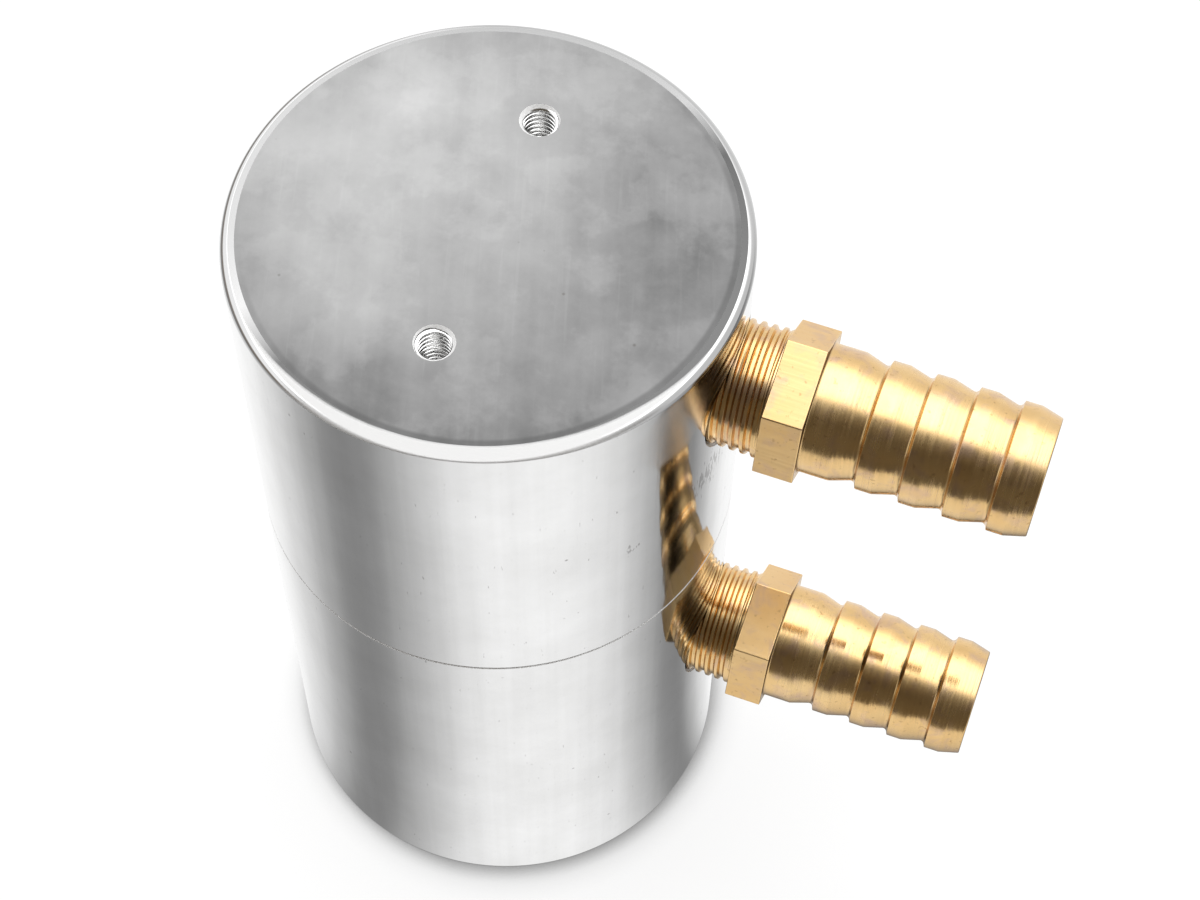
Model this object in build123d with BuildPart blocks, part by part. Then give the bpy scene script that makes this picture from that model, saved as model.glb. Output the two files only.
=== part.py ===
from build123d import *
import os

# Oil catch can: a turned aluminium housing screwed onto a turned aluminium cup, with a brass hose barb in
# the side of each. Gas enters by one barb, leaves its oil in a wire pad and goes out by the other.
# The origin is the centre of the base, +Z is the can's axis and +X is the way the barbs point.

# Can
can_diameter = 82.55
can_height = 157.5
cup_height = 89.0
wall = 9.525
floor_thickness = 9.5
roof_thickness = 10.0
top_edge_round = 2.5
base_edge_break = 0.5
seam_edge_break = 0.2
inner_corner_round = 1.0

# Bracket holes in the top, tapped M6 and drilled blind
bracket_hole_spacing = 44.45
bracket_hole_radius = 2.5
bracket_hole_depth = 7.0
bracket_hole_mouth_radius = 3.25
bracket_hole_point = 1.5
countersink_angle = 90.0

# Screwed joint between the cup and the housing
skirt_wall = 4.6
spigot_length = 14.0
joint_thread_depth = 1.1
joint_clearance = 0.2
skirt_end_gap = 1.0
spigot_lead_in = 1.0

# Seal ring round the root of the spigot
seal_section = 2.62
seal_clearance = 0.15

# Hose barbs: taper pipe thread, hexagon and saw-tooth tail
upper_port_below_top = 21.3
lower_port_height = 55.15
thread_radius = 10.6
thread_taper = 1 / 16
thread_length = 19.0
thread_exposed = 6.7
thread_lead_in = 1.0
hex_across_flats = 22.2
hex_thickness = 6.6
upper_hex_turn = 20.2
lower_hex_turn = 16.3
barb_bore_radius = 7.5
barb_mouth_break = 0.6
collar_root_round = 0.5
collar_length = 5.0
tail_length = 36.8
crest_radius = 10.5
collar_groove_radius = 9.25
groove_radius = 9.4
tip_radius = 9.55
barb_count = 4
barb_pitch = 7.05
first_crest = 9.4
crest_land = 2.7
crest_face = 0.45

# Separator: a wire pad between two perforated discs, held up by a snap ring
ring_thickness = 2.0
ring_width = 4.6
ring_groove_depth = 1.25
ring_clearance = 0.1
ring_gap = 9.0
ring_ear_radius = 4.0
ring_ear_hole_radius = 1.4
ring_above_spigot = 2.2
screen_thickness = 1.5
screen_clearance = 0.25
screen_hole_radius = 2.75
screen_hole_pitch = 8.8
screen_hole_rings = 3
pad_thickness = 11.0
pad_edge_round = 1.2
shoulder_width = 1.75

# Sizes that follow from these
can_radius = can_diameter / 2
bore_radius = can_radius - wall
roof_height = can_height - roof_thickness
skirt_radius = can_radius - skirt_wall
spigot_radius = skirt_radius - joint_thread_depth - joint_clearance
spigot_top = cup_height + spigot_length
skirt_top = spigot_top + skirt_end_gap
gland_size = seal_section + 2 * seal_clearance
gland_radius = spigot_radius + gland_size
gland_top = cup_height + gland_size
upper_port_height = can_height - upper_port_below_top
hex_inner = can_radius + thread_exposed
hex_outer = hex_inner + hex_thickness
shank_end = hex_inner - thread_length
tail_end = hex_outer + tail_length
ring_bottom = spigot_top + ring_above_spigot
ring_top = ring_bottom + ring_thickness
pad_bottom = ring_top + screen_thickness
pad_top = pad_bottom + pad_thickness
shoulder_height = pad_top + screen_thickness
chamber_radius = bore_radius - shoulder_width
ring_groove_radius = bore_radius + ring_groove_depth
ring_radius = ring_groove_radius - ring_clearance
stack_radius = bore_radius - screen_clearance

os.makedirs("parts", exist_ok=True)


def shank_radius(x):
    """Radius of the taper pipe thread's crests at the distance x from the can's axis."""
    return thread_radius - (hex_inner - x) * thread_taper / 2


def port_axis(height):
    """The line along which a fitting screws into the can's side."""
    return Axis((0, 0, height), (1, 0, 0))


def port_outline(height):
    """Half section of the tapped port: the cone of the fitting's thread, through one wall of the can."""
    Polyline(
        (0, height),
        (hex_inner, height),
        (hex_inner, height + shank_radius(hex_inner)),
        (0, height + shank_radius(0)),
        close=True,
    )


# Lower cup: one turned piece, with the floor, the side and the spigot that the housing screws onto
with BuildPart() as lower_cup:
    with BuildSketch(Plane.XZ):
        with BuildLine():
            Polyline(
                (0, 0),
                (can_radius, 0),
                (can_radius, cup_height),
                (spigot_radius, cup_height),
                (spigot_radius, spigot_top),
                (bore_radius, spigot_top),
                (bore_radius, floor_thickness),
                (0, floor_thickness),
                close=True,
            )
        make_face()
    revolve(axis=Axis.Z)
    rims = lower_cup.edges().filter_by(GeomType.CIRCLE)
    chamfer(rims.group_by(Axis.Z)[0], base_edge_break)
    chamfer(rims.filter_by_position(Axis.Z, cup_height, cup_height).sort_by(SortBy.RADIUS)[-1], seam_edge_break)
    chamfer(rims.filter_by_position(Axis.Z, spigot_top, spigot_top).sort_by(SortBy.RADIUS)[-1], spigot_lead_in)
    fillet(rims.filter_by_position(Axis.Z, floor_thickness, floor_thickness), inner_corner_round)
    with BuildSketch(Plane.XZ):
        with BuildLine():
            port_outline(lower_port_height)
        make_face()
    revolve(axis=port_axis(lower_port_height), mode=Mode.SUBTRACT)
lower_cup.part.label = "lower_cup"
export_step(lower_cup.part, "parts/lower_cup.step")

# Upper housing: one turned piece, with the roof, the chamber over the separator, the bore that holds the
# separator, the groove of its snap ring, the threaded skirt and the gland of the seal ring
with BuildPart() as upper_housing:
    with BuildSketch(Plane.XZ):
        with BuildLine():
            Polyline(
                (0, can_height),
                (can_radius, can_height),
                (can_radius, cup_height),
                (gland_radius, cup_height),
                (gland_radius, gland_top),
                (skirt_radius, gland_top),
                (skirt_radius, skirt_top),
                (bore_radius, skirt_top),
                (bore_radius, shoulder_height),
                (chamber_radius, shoulder_height),
                (chamber_radius, roof_height),
                (0, roof_height),
                close=True,
            )
        make_face()
        with Locations(((bore_radius + ring_groove_radius) / 2, (ring_bottom + ring_top + ring_clearance) / 2)):
            Rectangle(ring_groove_radius - bore_radius, ring_thickness + ring_clearance, mode=Mode.SUBTRACT)
    revolve(axis=Axis.Z)
    rims = upper_housing.edges().filter_by(GeomType.CIRCLE)
    fillet(rims.group_by(Axis.Z)[-1], top_edge_round)
    chamfer(rims.filter_by_position(Axis.Z, cup_height, cup_height).sort_by(SortBy.RADIUS)[-1], seam_edge_break)
    fillet(rims.filter_by_position(Axis.Z, roof_height, roof_height), inner_corner_round)
    with BuildSketch(Plane.XZ):
        with BuildLine():
            port_outline(upper_port_height)
        make_face()
    revolve(axis=port_axis(upper_port_height), mode=Mode.SUBTRACT)
    with Locations((0, 0, can_height)):
        with GridLocations(0, bracket_hole_spacing, 1, 2):
            CounterSinkHole(
                bracket_hole_radius, bracket_hole_mouth_radius, bracket_hole_depth, countersink_angle
            )
    with Locations((0, 0, can_height - bracket_hole_depth)):
        with GridLocations(0, bracket_hole_spacing, 1, 2):
            Cone(
                0,
                bracket_hole_radius,
                bracket_hole_point,
                align=(Align.CENTER, Align.CENTER, Align.MAX),
                mode=Mode.SUBTRACT,
            )
upper_housing.part.label = "upper_housing"
export_step(upper_housing.part, "parts/upper_housing.step")

# Seal ring: a plain O-ring that lies in the gland between the spigot, the cup's shoulder and the skirt
with BuildPart() as seal_ring:
    with BuildSketch(Plane.XZ):
        with Locations((spigot_radius + gland_size / 2, cup_height + gland_size / 2)):
            Circle(seal_section / 2)
    revolve(axis=Axis.Z)
seal_ring.part.label = "seal_ring"
export_step(seal_ring.part, "parts/seal_ring.step")

# Hose barbs: turned from hexagon bar, with the pipe thread's cone on one side of the hexagon and the
# saw-tooth tail, which a hose is pushed over, on the other
fittings = {
    "upper_hose_barb": (upper_port_height, upper_hex_turn),
    "lower_hose_barb": (lower_port_height, lower_hex_turn),
}
tail = [
    (hex_outer + collar_length, crest_radius),
    (hex_outer + first_crest - crest_face, collar_groove_radius),
]
for barb in range(barb_count):
    crest = hex_outer + first_crest + barb * barb_pitch
    tail.append((crest, crest_radius))
    tail.append((crest + crest_land, crest_radius))
    if barb < barb_count - 1:
        tail.append((crest + barb_pitch - crest_face, groove_radius))
tail.append((tail_end, tip_radius))

for name, (height, hex_turn) in fittings.items():
    with BuildPart() as hose_barb:
        with BuildSketch(Plane.XZ):
            with BuildLine():
                outline = [(x, height + radius) for x, radius in tail]
                Polyline(
                    (shank_end, height + barb_bore_radius),
                    (shank_end, height + shank_radius(shank_end) - thread_lead_in),
                    (shank_end + thread_lead_in, height + shank_radius(shank_end + thread_lead_in)),
                    (hex_inner, height + shank_radius(hex_inner)),
                    (hex_outer, height + shank_radius(hex_inner)),
                    (hex_outer, height + crest_radius),
                    *outline,
                    (tail_end, height + barb_bore_radius + barb_mouth_break),
                    (tail_end - barb_mouth_break, height + barb_bore_radius),
                    close=True,
                )
            make_face()
        revolve(axis=port_axis(height))
        with BuildSketch(Plane.YZ.offset(hex_inner)):
            with Locations((0, height)):
                RegularPolygon(hex_across_flats / 2, 6, major_radius=False, rotation=hex_turn)
                Circle(barb_bore_radius, mode=Mode.SUBTRACT)
        extrude(amount=hex_thickness)
        root = hose_barb.edges().filter_by(GeomType.CIRCLE).filter_by_position(Axis.X, hex_outer, hex_outer)
        hex_ledge = hex_across_flats / 2 - crest_radius
        fillet(root.sort_by(SortBy.RADIUS)[-1], min(collar_root_round, 0.9 * hex_ledge))
    hose_barb.part.label = name
    export_step(hose_barb.part, f"parts/{name}.step")

# Screens: perforated discs of sheet, one over and one under the wire pad
for name, bottom in {"lower_screen": ring_top, "upper_screen": pad_top}.items():
    with BuildPart() as screen:
        with BuildSketch(Plane.XY.offset(bottom)):
            Circle(stack_radius)
            Circle(screen_hole_radius, mode=Mode.SUBTRACT)
            for ring in range(1, screen_hole_rings + 1):
                with PolarLocations(ring * screen_hole_pitch, 6 * ring):
                    Circle(screen_hole_radius, mode=Mode.SUBTRACT)
        extrude(amount=screen_thickness)
    screen.part.label = name
    export_step(screen.part, f"parts/{name}.step")

# Mesh pad: knitted wire pressed into a disc
with BuildPart() as mesh_pad:
    with BuildSketch(Plane.XY.offset(pad_bottom)):
        Circle(stack_radius)
    extrude(amount=pad_thickness)
    fillet(mesh_pad.edges().filter_by(GeomType.CIRCLE), pad_edge_round)
mesh_pad.part.label = "mesh_pad"
export_step(mesh_pad.part, "parts/mesh_pad.step")

# Retaining ring: a sheet snap ring, open opposite the barbs, with two ears that pliers grip
with BuildPart() as retaining_ring:
    with BuildSketch(Plane.XY.offset(ring_bottom)):
        Circle(ring_radius)
        Circle(ring_radius - ring_width, mode=Mode.SUBTRACT)
        ear_place = bore_radius - ring_width - ring_ear_radius / 2
        ear_side = ring_gap / 2 + ring_ear_radius
        with Locations((-ear_place, ear_side), (-ear_place, -ear_side)):
            Circle(ring_ear_radius)
        with Locations((-ring_radius, 0)):
            Rectangle(4 * ring_width, ring_gap, mode=Mode.SUBTRACT)
        with Locations((-ear_place, ear_side), (-ear_place, -ear_side)):
            Circle(ring_ear_hole_radius, mode=Mode.SUBTRACT)
    extrude(amount=ring_thickness)
retaining_ring.part.label = "retaining_ring"
export_step(retaining_ring.part, "parts/retaining_ring.step")
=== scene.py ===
import math

import bpy
import numpy as np
from mathutils import Matrix


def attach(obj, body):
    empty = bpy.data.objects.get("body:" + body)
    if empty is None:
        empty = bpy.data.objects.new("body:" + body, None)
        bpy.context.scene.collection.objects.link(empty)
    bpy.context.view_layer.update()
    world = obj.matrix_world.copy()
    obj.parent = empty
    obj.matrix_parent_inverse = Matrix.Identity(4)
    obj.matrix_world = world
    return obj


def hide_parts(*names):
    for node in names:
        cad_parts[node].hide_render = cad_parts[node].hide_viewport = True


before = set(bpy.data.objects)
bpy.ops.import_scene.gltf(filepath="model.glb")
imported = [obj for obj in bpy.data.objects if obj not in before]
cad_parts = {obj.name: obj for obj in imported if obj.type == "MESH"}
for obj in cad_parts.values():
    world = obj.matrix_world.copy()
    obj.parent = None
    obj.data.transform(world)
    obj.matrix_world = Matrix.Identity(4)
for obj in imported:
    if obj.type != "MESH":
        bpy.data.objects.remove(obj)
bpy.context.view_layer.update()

# Lower cup: the can's lower half, turned from aluminium bar, closed below and buffed to a mirror outside.
# Its threaded spigot stands up inside the housing, and the lower hose barb is screwed into the tapped port
# in its side. Lengths are in millimetres until a mesh is made, and in metres in a finish.
millimetre = 0.001
full_turn = 2 * math.pi
outwards, inwards = 1, -1
upwards, downwards = 1, -1
can_radius = 41.275
cup_height = 89.0
cup_floor = 9.5
cup_bore_radius = 31.75
bowl_round = 1.0
base_break = 0.5
seam_round = 0.3
spigot_radius = 35.375
spigot_top = 103.0
spigot_lead_in = 1.0
joint_pitch = 2.0
joint_crest = 1.0
joint_start = 92.4
lower_port = 55.15
port_thread_radius = 10.6
port_thread_face = 47.975
port_taper = 1 / 16
port_sink = 0.7
outer_window = 12.2
inner_window = 11.5
window_steps = 12
arc_points = 9
round_steps = 256
turns = np.linspace(0, full_turn, round_steps + 1)


def outline(corners, rounds):
    """Half section of a turned piece, as points (radius, height) and normals, with the metal on the left.
    Runs between corners are straight. At a corner with a round, the point swings on a circle that touches
    both runs, and its normal swings evenly from one run's to the next's. A round of 0 is a sharp edge."""
    corners = np.asarray(corners, float)
    ways = np.diff(corners, axis=0)
    ways /= np.hypot(ways[:, 0], ways[:, 1])[:, None]
    headings = np.arctan2(ways[:, 1], ways[:, 0])
    swings = (np.diff(headings) + np.pi) % full_turn - np.pi
    points = [corners[:1]]
    normals = [np.stack([ways[:1, 1], -ways[:1, 0]], -1)]
    for i, swing in enumerate(swings):
        share = np.linspace(0, 1, arc_points if rounds[i + 1] else 2)
        angle = headings[i] - np.pi / 2 + share * swing
        normal = np.stack([np.cos(angle), np.sin(angle)], -1)
        radius = rounds[i + 1] * np.sign(swing)
        first = corners[i + 1] - ways[i] * abs(radius * np.tan(swing / 2))
        points.append(first + radius * (normal - normal[0]))
        normals.append(normal)
    points.append(corners[-1:])
    normals.append(np.stack([ways[-1:, 1], -ways[-1:, 0]], -1))
    return np.concatenate(points), np.concatenate(normals)


def turned(section, angles):
    """Carry a half section round the Z axis: radius r and height h at the angle t give (r cos t, r sin t, h),
    and the normals turn with the points."""
    cosine, sine = np.cos(angles), np.sin(angles)
    return [
        np.stack([np.outer(a[:, 0], cosine), np.outer(a[:, 0], sine), np.outer(a[:, 1], cosine ** 0)], -1)
        for a in section
    ]


def pipe_cone(along):
    """Radius of the taper pipe thread's cone at a distance from the can's axis. It narrows inwards, by one in
    sixteen on the diameter."""
    return port_thread_radius - (port_thread_face - along) * port_taper / 2


def port_mouth(radius, port, around, sink=0.0):
    """Where the taper pipe thread's cone meets a round wall. At the angle a round the port's axis, the cone's
    radius c at the distance x and the wall's circle give y = c cos a, z = port + c sin a and
    x = root(R^2 - y^2), found by repeating the two until they agree. A countersink widens c. Returns the
    wall's angle and height."""
    cone = np.full_like(around, port_thread_radius)
    for _ in range(6):
        cone = pipe_cone(np.sqrt(radius ** 2 - (cone * np.cos(around)) ** 2)) + sink
    return np.arcsin(cone * np.cos(around) / radius), port + cone * np.sin(around)


def on_wall(radius, angle, height, facing):
    """Points of the round wall at an angle and height, with normals straight out or straight in."""
    point = np.stack([radius * np.cos(angle), radius * np.sin(angle), height], -1)
    normal = facing * np.stack([np.cos(angle), np.sin(angle), 0 * height], -1)
    return (point, normal) if facing > 0 else (point[::-1], normal[::-1])


def ported_wall(radius, low, high, port, window, facing, sink=0.0):
    """A round wall with a port towards +X, as four grids: the bands below, beside and above a window, and
    the window itself, whose rows slide from its border in to the port's edge. The window reaches the given
    length over and under the port's axis, but not past the wall. Also returns the angles round the port's
    axis at which the window's columns lie."""
    sill, head = port - window, min(port + window, high)
    half = window_steps * turns[1]
    across = np.linspace(-half, half, 2 * window_steps + 1)
    up = np.linspace(sill, head, 2 * window_steps + 1)
    border_angle = np.concatenate([across, 0 * up[1:] + half, across[-2::-1], 0 * up[1:] - half])
    border_height = np.concatenate([0 * across + sill, up[1:], 0 * across[1:] + head, up[-2::-1]])
    around = np.arctan2(border_height - port, radius * np.sin(border_angle))
    edge_angle, edge_height = port_mouth(radius, port, around, sink)
    slide = np.linspace(0, 1, 7)[:, None]
    grids = [
        np.meshgrid(turns, np.linspace(low, sill, 6)),
        np.meshgrid(turns[window_steps : round_steps - window_steps + 1], up),
        np.meshgrid(turns, np.linspace(head, high, 4)),
        (
            border_angle + slide * (edge_angle - border_angle),
            border_height + slide * (edge_height - border_height),
        ),
    ]
    return [on_wall(radius, angle, height, facing) for angle, height in grids], around


def port_edge(radius, port, around, sink=0.0):
    """The port's edge on a round wall, as points, and normals that point straight in to the port's axis."""
    point, _ = on_wall(radius, *port_mouth(radius, port, around, sink), outwards)
    return point, np.stack([0 * around, -np.cos(around), -np.sin(around)], -1)


def port_walls(outer, inner, port, outer_around, inner_around):
    """The port's own walls, as straight lines between three edges: the countersink's, where it starts on the
    outside, the one where it meets the thread's cone, and the one on the inside. The countersink's normals
    lean halfway out."""
    mouth, inward = port_edge(outer, port, outer_around, port_sink)
    neck, _ = port_edge(outer - port_sink, port, outer_around)
    end, _ = port_edge(inner, port, inner_around)
    leaning = (inward + (1, 0, 0)) / math.sqrt(2)
    sink_wall = (np.stack([mouth, neck]), np.stack([leaning] * 2))
    thread_wall = (np.stack([neck, end]), np.stack([inward] * 2))
    return sink_wall, thread_wall


def ridge(phase, crest=0.06, root=0.06):
    """Height of a screw thread's flank, from 0 at the root to 1 at the crest: a triangle wave of the phase,
    with its crest and its root cut flat by the given shares of its height."""
    wave = 1 - np.abs(2 * (phase % 1) - 1)
    return np.clip((wave - root) / (1 - root - crest), 0, 1)


def screw(radius_at, start, end, pitch, angles, facing, per_turn=16):
    """A screw thread's surface. Each row climbs with the helix, h = pitch (row + t / full turn), held between
    start and end, so crests and roots are unbroken lines, and there are rows enough to reach both ends at
    every angle. The radius comes from the height and the phase h / pitch - t / full turn. The normal leans by
    the radius's slope along and round the thread."""
    first = np.floor((start / pitch - angles.max() / full_turn) * per_turn)
    last = np.ceil((end / pitch - angles.min() / full_turn) * per_turn)
    rows = np.arange(first, last + 1) / per_turn
    angle = np.broadcast_to(angles, (len(rows), len(angles)))
    height = np.clip(pitch * (rows[:, None] + angle / full_turn), start, end)

    def radius(h, t):
        return radius_at(h, h / pitch - t / full_turn)

    nudge, turn_nudge = pitch / (2.5 * per_turn), 0.05
    along = (radius(height + nudge, angle) - radius(height - nudge, angle)) / (2 * nudge)
    round_it = (radius(height, angle + turn_nudge) - radius(height, angle - turn_nudge)) / (2 * turn_nudge)
    r = radius(height, angle)
    cosine, sine = np.cos(angle), np.sin(angle)
    lean = round_it / r
    point = np.stack([r * cosine, r * sine, height], -1)
    normal = np.stack([cosine + lean * sine, sine - lean * cosine, -along], -1)
    normal *= facing / np.linalg.norm(normal, axis=-1, keepdims=True)
    return (point, normal) if facing > 0 else (point[::-1], normal[::-1])


def spigot_thread(height, phase):
    """Radius of the spigot: a plain root for the seal ring, then the thread, then the lead-in's slope."""
    grown = np.clip((height - joint_start) / joint_pitch, 0, 1)
    lead_in = spigot_radius - spigot_lead_in + spigot_top - height
    return np.minimum(spigot_radius + joint_crest * ridge(phase) * grown, lead_in)


def flat_ring(inner, outer, height, facing, angles):
    """A flat ring at one height: straight lines from the inner edge to the outer one. The edges are radii,
    one for the whole edge or one for each angle."""
    share = np.linspace(0, 1, 4)[:, None]
    radius = inner + share * (np.asarray(outer) - inner) + 0 * angles
    point = np.stack([radius * np.cos(angles), radius * np.sin(angles), 0 * radius + height], -1)
    normal = np.zeros_like(point)
    normal[..., 2] = facing
    return (point[::-1], normal[::-1]) if facing > 0 else (point, normal)


def finished(finish, *sheets):
    """Grids of points and normals, each with the finish that it gets."""
    return [(*sheet, finish) for sheet in sheets]


def weld(name, sheets, finishes):
    """One mesh from grids of points, each with its own normals and its finish. Every four neighbours make a
    face. Points nearer than a tenth of a micron become one, so seams and poles close, and faces that shrink
    to a line are dropped."""
    steps_per_millimetre = 1e4
    corners, start = [], 0
    for point, _, _ in sheets:
        index = start + np.arange(point.shape[0] * point.shape[1]).reshape(point.shape[:2])
        quads = np.stack([index[:-1, :-1], index[:-1, 1:], index[1:, 1:], index[1:, :-1]], -1)
        corners.append(quads.reshape(-1, 4))
        start += index.size
    finish = np.concatenate([np.full(len(c), finishes.index(s[2])) for c, s in zip(corners, sheets)])
    corners = np.concatenate(corners)
    points = np.concatenate([s[0].reshape(-1, 3) for s in sheets])
    normals = np.concatenate([s[1].reshape(-1, 3) for s in sheets])
    keys = np.round(points * steps_per_millimetre).astype(np.int64)
    _, first, place = np.unique(keys, axis=0, return_index=True, return_inverse=True)
    welded = place.reshape(-1)[corners]
    kept = welded != np.roll(welded, 1, axis=1)
    whole = kept.sum(1) >= 3
    welded, kept, corners, finish = welded[whole], kept[whole], corners[whole], finish[whole]
    counts = kept.sum(1)
    mesh = bpy.data.meshes.new(name)
    mesh.vertices.add(len(first))
    mesh.vertices.foreach_set("co", (points[first] * millimetre).ravel())
    mesh.loops.add(int(counts.sum()))
    mesh.loops.foreach_set("vertex_index", welded[kept].astype(np.int32))
    mesh.polygons.add(len(counts))
    mesh.polygons.foreach_set("loop_start", (np.cumsum(counts) - counts).astype(np.int32))
    mesh.update(calc_edges=True)
    mesh.polygons.foreach_set("material_index", finish.astype(np.int32))
    mesh.polygons.foreach_set("use_smooth", np.ones(len(counts), bool))
    mesh.normals_split_custom_set(normals[corners][kept])
    for material in finishes:
        mesh.materials.append(material)
    piece = bpy.data.objects.new(name, mesh)
    bpy.context.scene.collection.objects.link(piece)
    return piece


class NodeBench:
    """Short hands for the nodes of a material or a world. Each adds a node, sets or links its inputs and
    returns what comes out of it."""

    def __init__(self, owner):
        owner.use_nodes = True
        self.owner = owner
        self.tree = owner.node_tree
        self.tree.nodes.clear()

    def node(self, kind, settings=None, **inputs):
        """Any node. An input is named by its label, or by i and its number."""
        node = self.tree.nodes.new(kind)
        for key, value in (settings or {}).items():
            setattr(node, key, value)
        for key, value in inputs.items():
            socket = node.inputs[int(key[1:]) if key[1:].isdigit() else key.replace("_", " ")]
            if isinstance(value, bpy.types.NodeSocket):
                self.tree.links.new(value, socket)
            else:
                socket.default_value = value
        return node

    def add(self, kind, settings=None, **inputs):
        """Any node's outputs."""
        return self.node(kind, settings, **inputs).outputs

    def ramp(self, value, stops, curve="LINEAR"):
        """A colour or a grey level for a value, from stops of (value, level)."""
        node = self.node("ShaderNodeValToRGB", Fac=value)
        node.color_ramp.interpolation = curve
        for place, _ in stops[2:]:
            node.color_ramp.elements.new(place)
        for element, (place, level) in zip(node.color_ramp.elements, stops):
            element.position = place
            element.color = (*level, 1) if isinstance(level, tuple) else (level, level, level, 1)
        return node.outputs["Color"]

    def noise(self, place, scale, detail, **inputs):
        """Smooth noise between 0 and 1."""
        return self.add("ShaderNodeTexNoise", Vector=place, Scale=scale, Detail=detail, **inputs)["Fac"]

    def mapped(self, place, settings=None, **inputs):
        """A place that is moved, turned and scaled."""
        return self.add("ShaderNodeMapping", settings, Vector=place, **inputs)["Vector"]

    def ball(self, place, shift, scale):
        """A soft ball round a point: 1 at the point, fading to 0."""
        mapped = self.mapped(place, Location=shift, Scale=scale)
        return self.add("ShaderNodeTexGradient", {"gradient_type": "SPHERICAL"}, Vector=mapped)["Fac"]

    def dots(self, place, scale, small, large, chosen):
        """Dots in the middle of the random cells whose colour the stops choose, faded from small to large."""
        cells = self.add("ShaderNodeTexVoronoi", Vector=place, Scale=scale)
        dot = self.ramp(cells["Distance"], [(small, 1.0), (large, 0.0)])
        return self.maths("MULTIPLY", dot, self.ramp(cells["Color"], chosen))

    def maths(self, operation, *values):
        """One sum of two or three values."""
        inputs = {f"i{i}": value for i, value in enumerate(values)}
        return self.add("ShaderNodeMath", {"operation": operation}, **inputs)[0]

    def reach(self, place, way):
        """How far a place lies along a way: the dot product of the two."""
        return self.add("ShaderNodeVectorMath", {"operation": "DOT_PRODUCT"}, i0=place, i1=way)["Value"]

    def distance(self, place):
        """How far a place lies from the origin."""
        return self.add("ShaderNodeVectorMath", {"operation": "LENGTH"}, Vector=place)["Value"]

    def span(self, value, low, high, to_low=0.0, to_high=1.0, curve="LINEAR", clamp=True):
        """A value's place between low and high, as a level between two others."""
        settings = {"interpolation_type": curve, "clamp": clamp}
        inputs = {"Value": value, "i1": low, "i2": high, "i3": to_low, "i4": to_high}
        return self.add("ShaderNodeMapRange", settings, **inputs)[0]

    def mix(self, factor, one, other):
        """A colour between two."""
        return self.add("ShaderNodeMix", {"data_type": "RGBA"}, i0=factor, i6=one, i7=other)[2]

    def between(self, factor, one, other):
        """A level between two."""
        return self.add("ShaderNodeMix", {"data_type": "FLOAT"}, i0=factor, i2=one, i3=other)[0]

    def coat(self, colour, gloss, height=None, strength=0.0, depth=0.0, metal=1.0):
        """The material with its shader: a colour, a gloss, how much of a metal it is, and a bump's height."""
        inputs = {"Base_Color": colour, "Metallic": metal, "Roughness": gloss}
        if height is not None:
            bump = self.add("ShaderNodeBump", Strength=strength, Distance=depth, Height=height)
            inputs["Normal"] = bump["Normal"]
        self.add("ShaderNodeOutputMaterial", Surface=self.add("ShaderNodeBsdfPrincipled", **inputs)[0])
        return self.owner


def new_finish(name):
    """An empty material's short hands, and the place on the piece that its patterns are laid out on."""
    make = NodeBench(bpy.data.materials.new(name))
    return make, make.add("ShaderNodeTexCoord")["Object"]


def mirror_aluminium():
    """Buffed aluminium: pale grey metal, nearly a mirror, with faint upright streaks from the buffing, cloudy
    wiping marks in its gloss, a few tiny nicks, scuffs beside the upper port and a hazy patch over it."""
    make, place = new_finish("mirror_aluminium")
    streak = make.noise(make.mapped(place, Scale=(1, 1, 0.02)), 420.0, 3.0)
    cloud = make.noise(place, 48.0, 6.0, Roughness=0.6)

    def spot(x, y, z, size):
        """A soft ball of the given size round a point, all in millimetres."""
        return make.ball(place, (-x / size, -y / size, -z / size), (1000 / size,) * 3)

    nicks = make.dots(place, 190.0, 0.03, 0.07, [(0.69, 0.0), (0.73, 0.75)])
    hatch = make.noise(make.mapped(place, Rotation=(0.5, 0, 0), Scale=(1, 1, 0.25)), 1700.0, 2.0)
    beside = make.maths("MAXIMUM", spot(40, -9, 122, 7), spot(33, -25, 118.5, 2.4))
    rubbed = make.maths("MULTIPLY_ADD", beside, 0.35, hatch)
    scuffs = make.ramp(rubbed, [(0.72, 0.0), (0.8, 0.6)])
    marks = make.maths("MAXIMUM", nicks, scuffs)
    uneven = make.maths("MULTIPLY_ADD", streak, 0.4, cloud)
    tone = make.ramp(uneven, [(0.5, (0.81, 0.808, 0.802)), (0.95, (0.95, 0.95, 0.948))])
    colour = make.mix(marks, tone, (0.3, 0.29, 0.28, 1))
    hazy = make.ramp(spot(37.2, -18, 147.5, 11), [(0.05, 0.0), (0.35, 0.22)])
    gloss = make.maths("MAXIMUM", make.ramp(cloud, [(0.35, 0.05), (0.75, 0.1)]), hazy)
    return make.coat(colour, gloss, make.maths("SUBTRACT", streak, marks), strength=0.035, depth=0.0004)


def bored_aluminium():
    """Aluminium as it comes off the lathe: satin grey with fine rings, one each feed of the tool."""
    make, place = new_finish("bored_aluminium")
    rings = make.add(
        "ShaderNodeTexWave", {"bands_direction": "Z"}, Vector=place, Scale=1500.0, Distortion=0.4
    )["Fac"]
    cloud = make.noise(place, 90.0, 4.0)
    colour = make.ramp(cloud, [(0.3, (0.60, 0.61, 0.62)), (0.7, (0.72, 0.72, 0.73))])
    gloss = make.ramp(cloud, [(0.3, 0.3), (0.7, 0.42)])
    return make.coat(colour, gloss, rings, strength=0.15, depth=0.0002)


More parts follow.
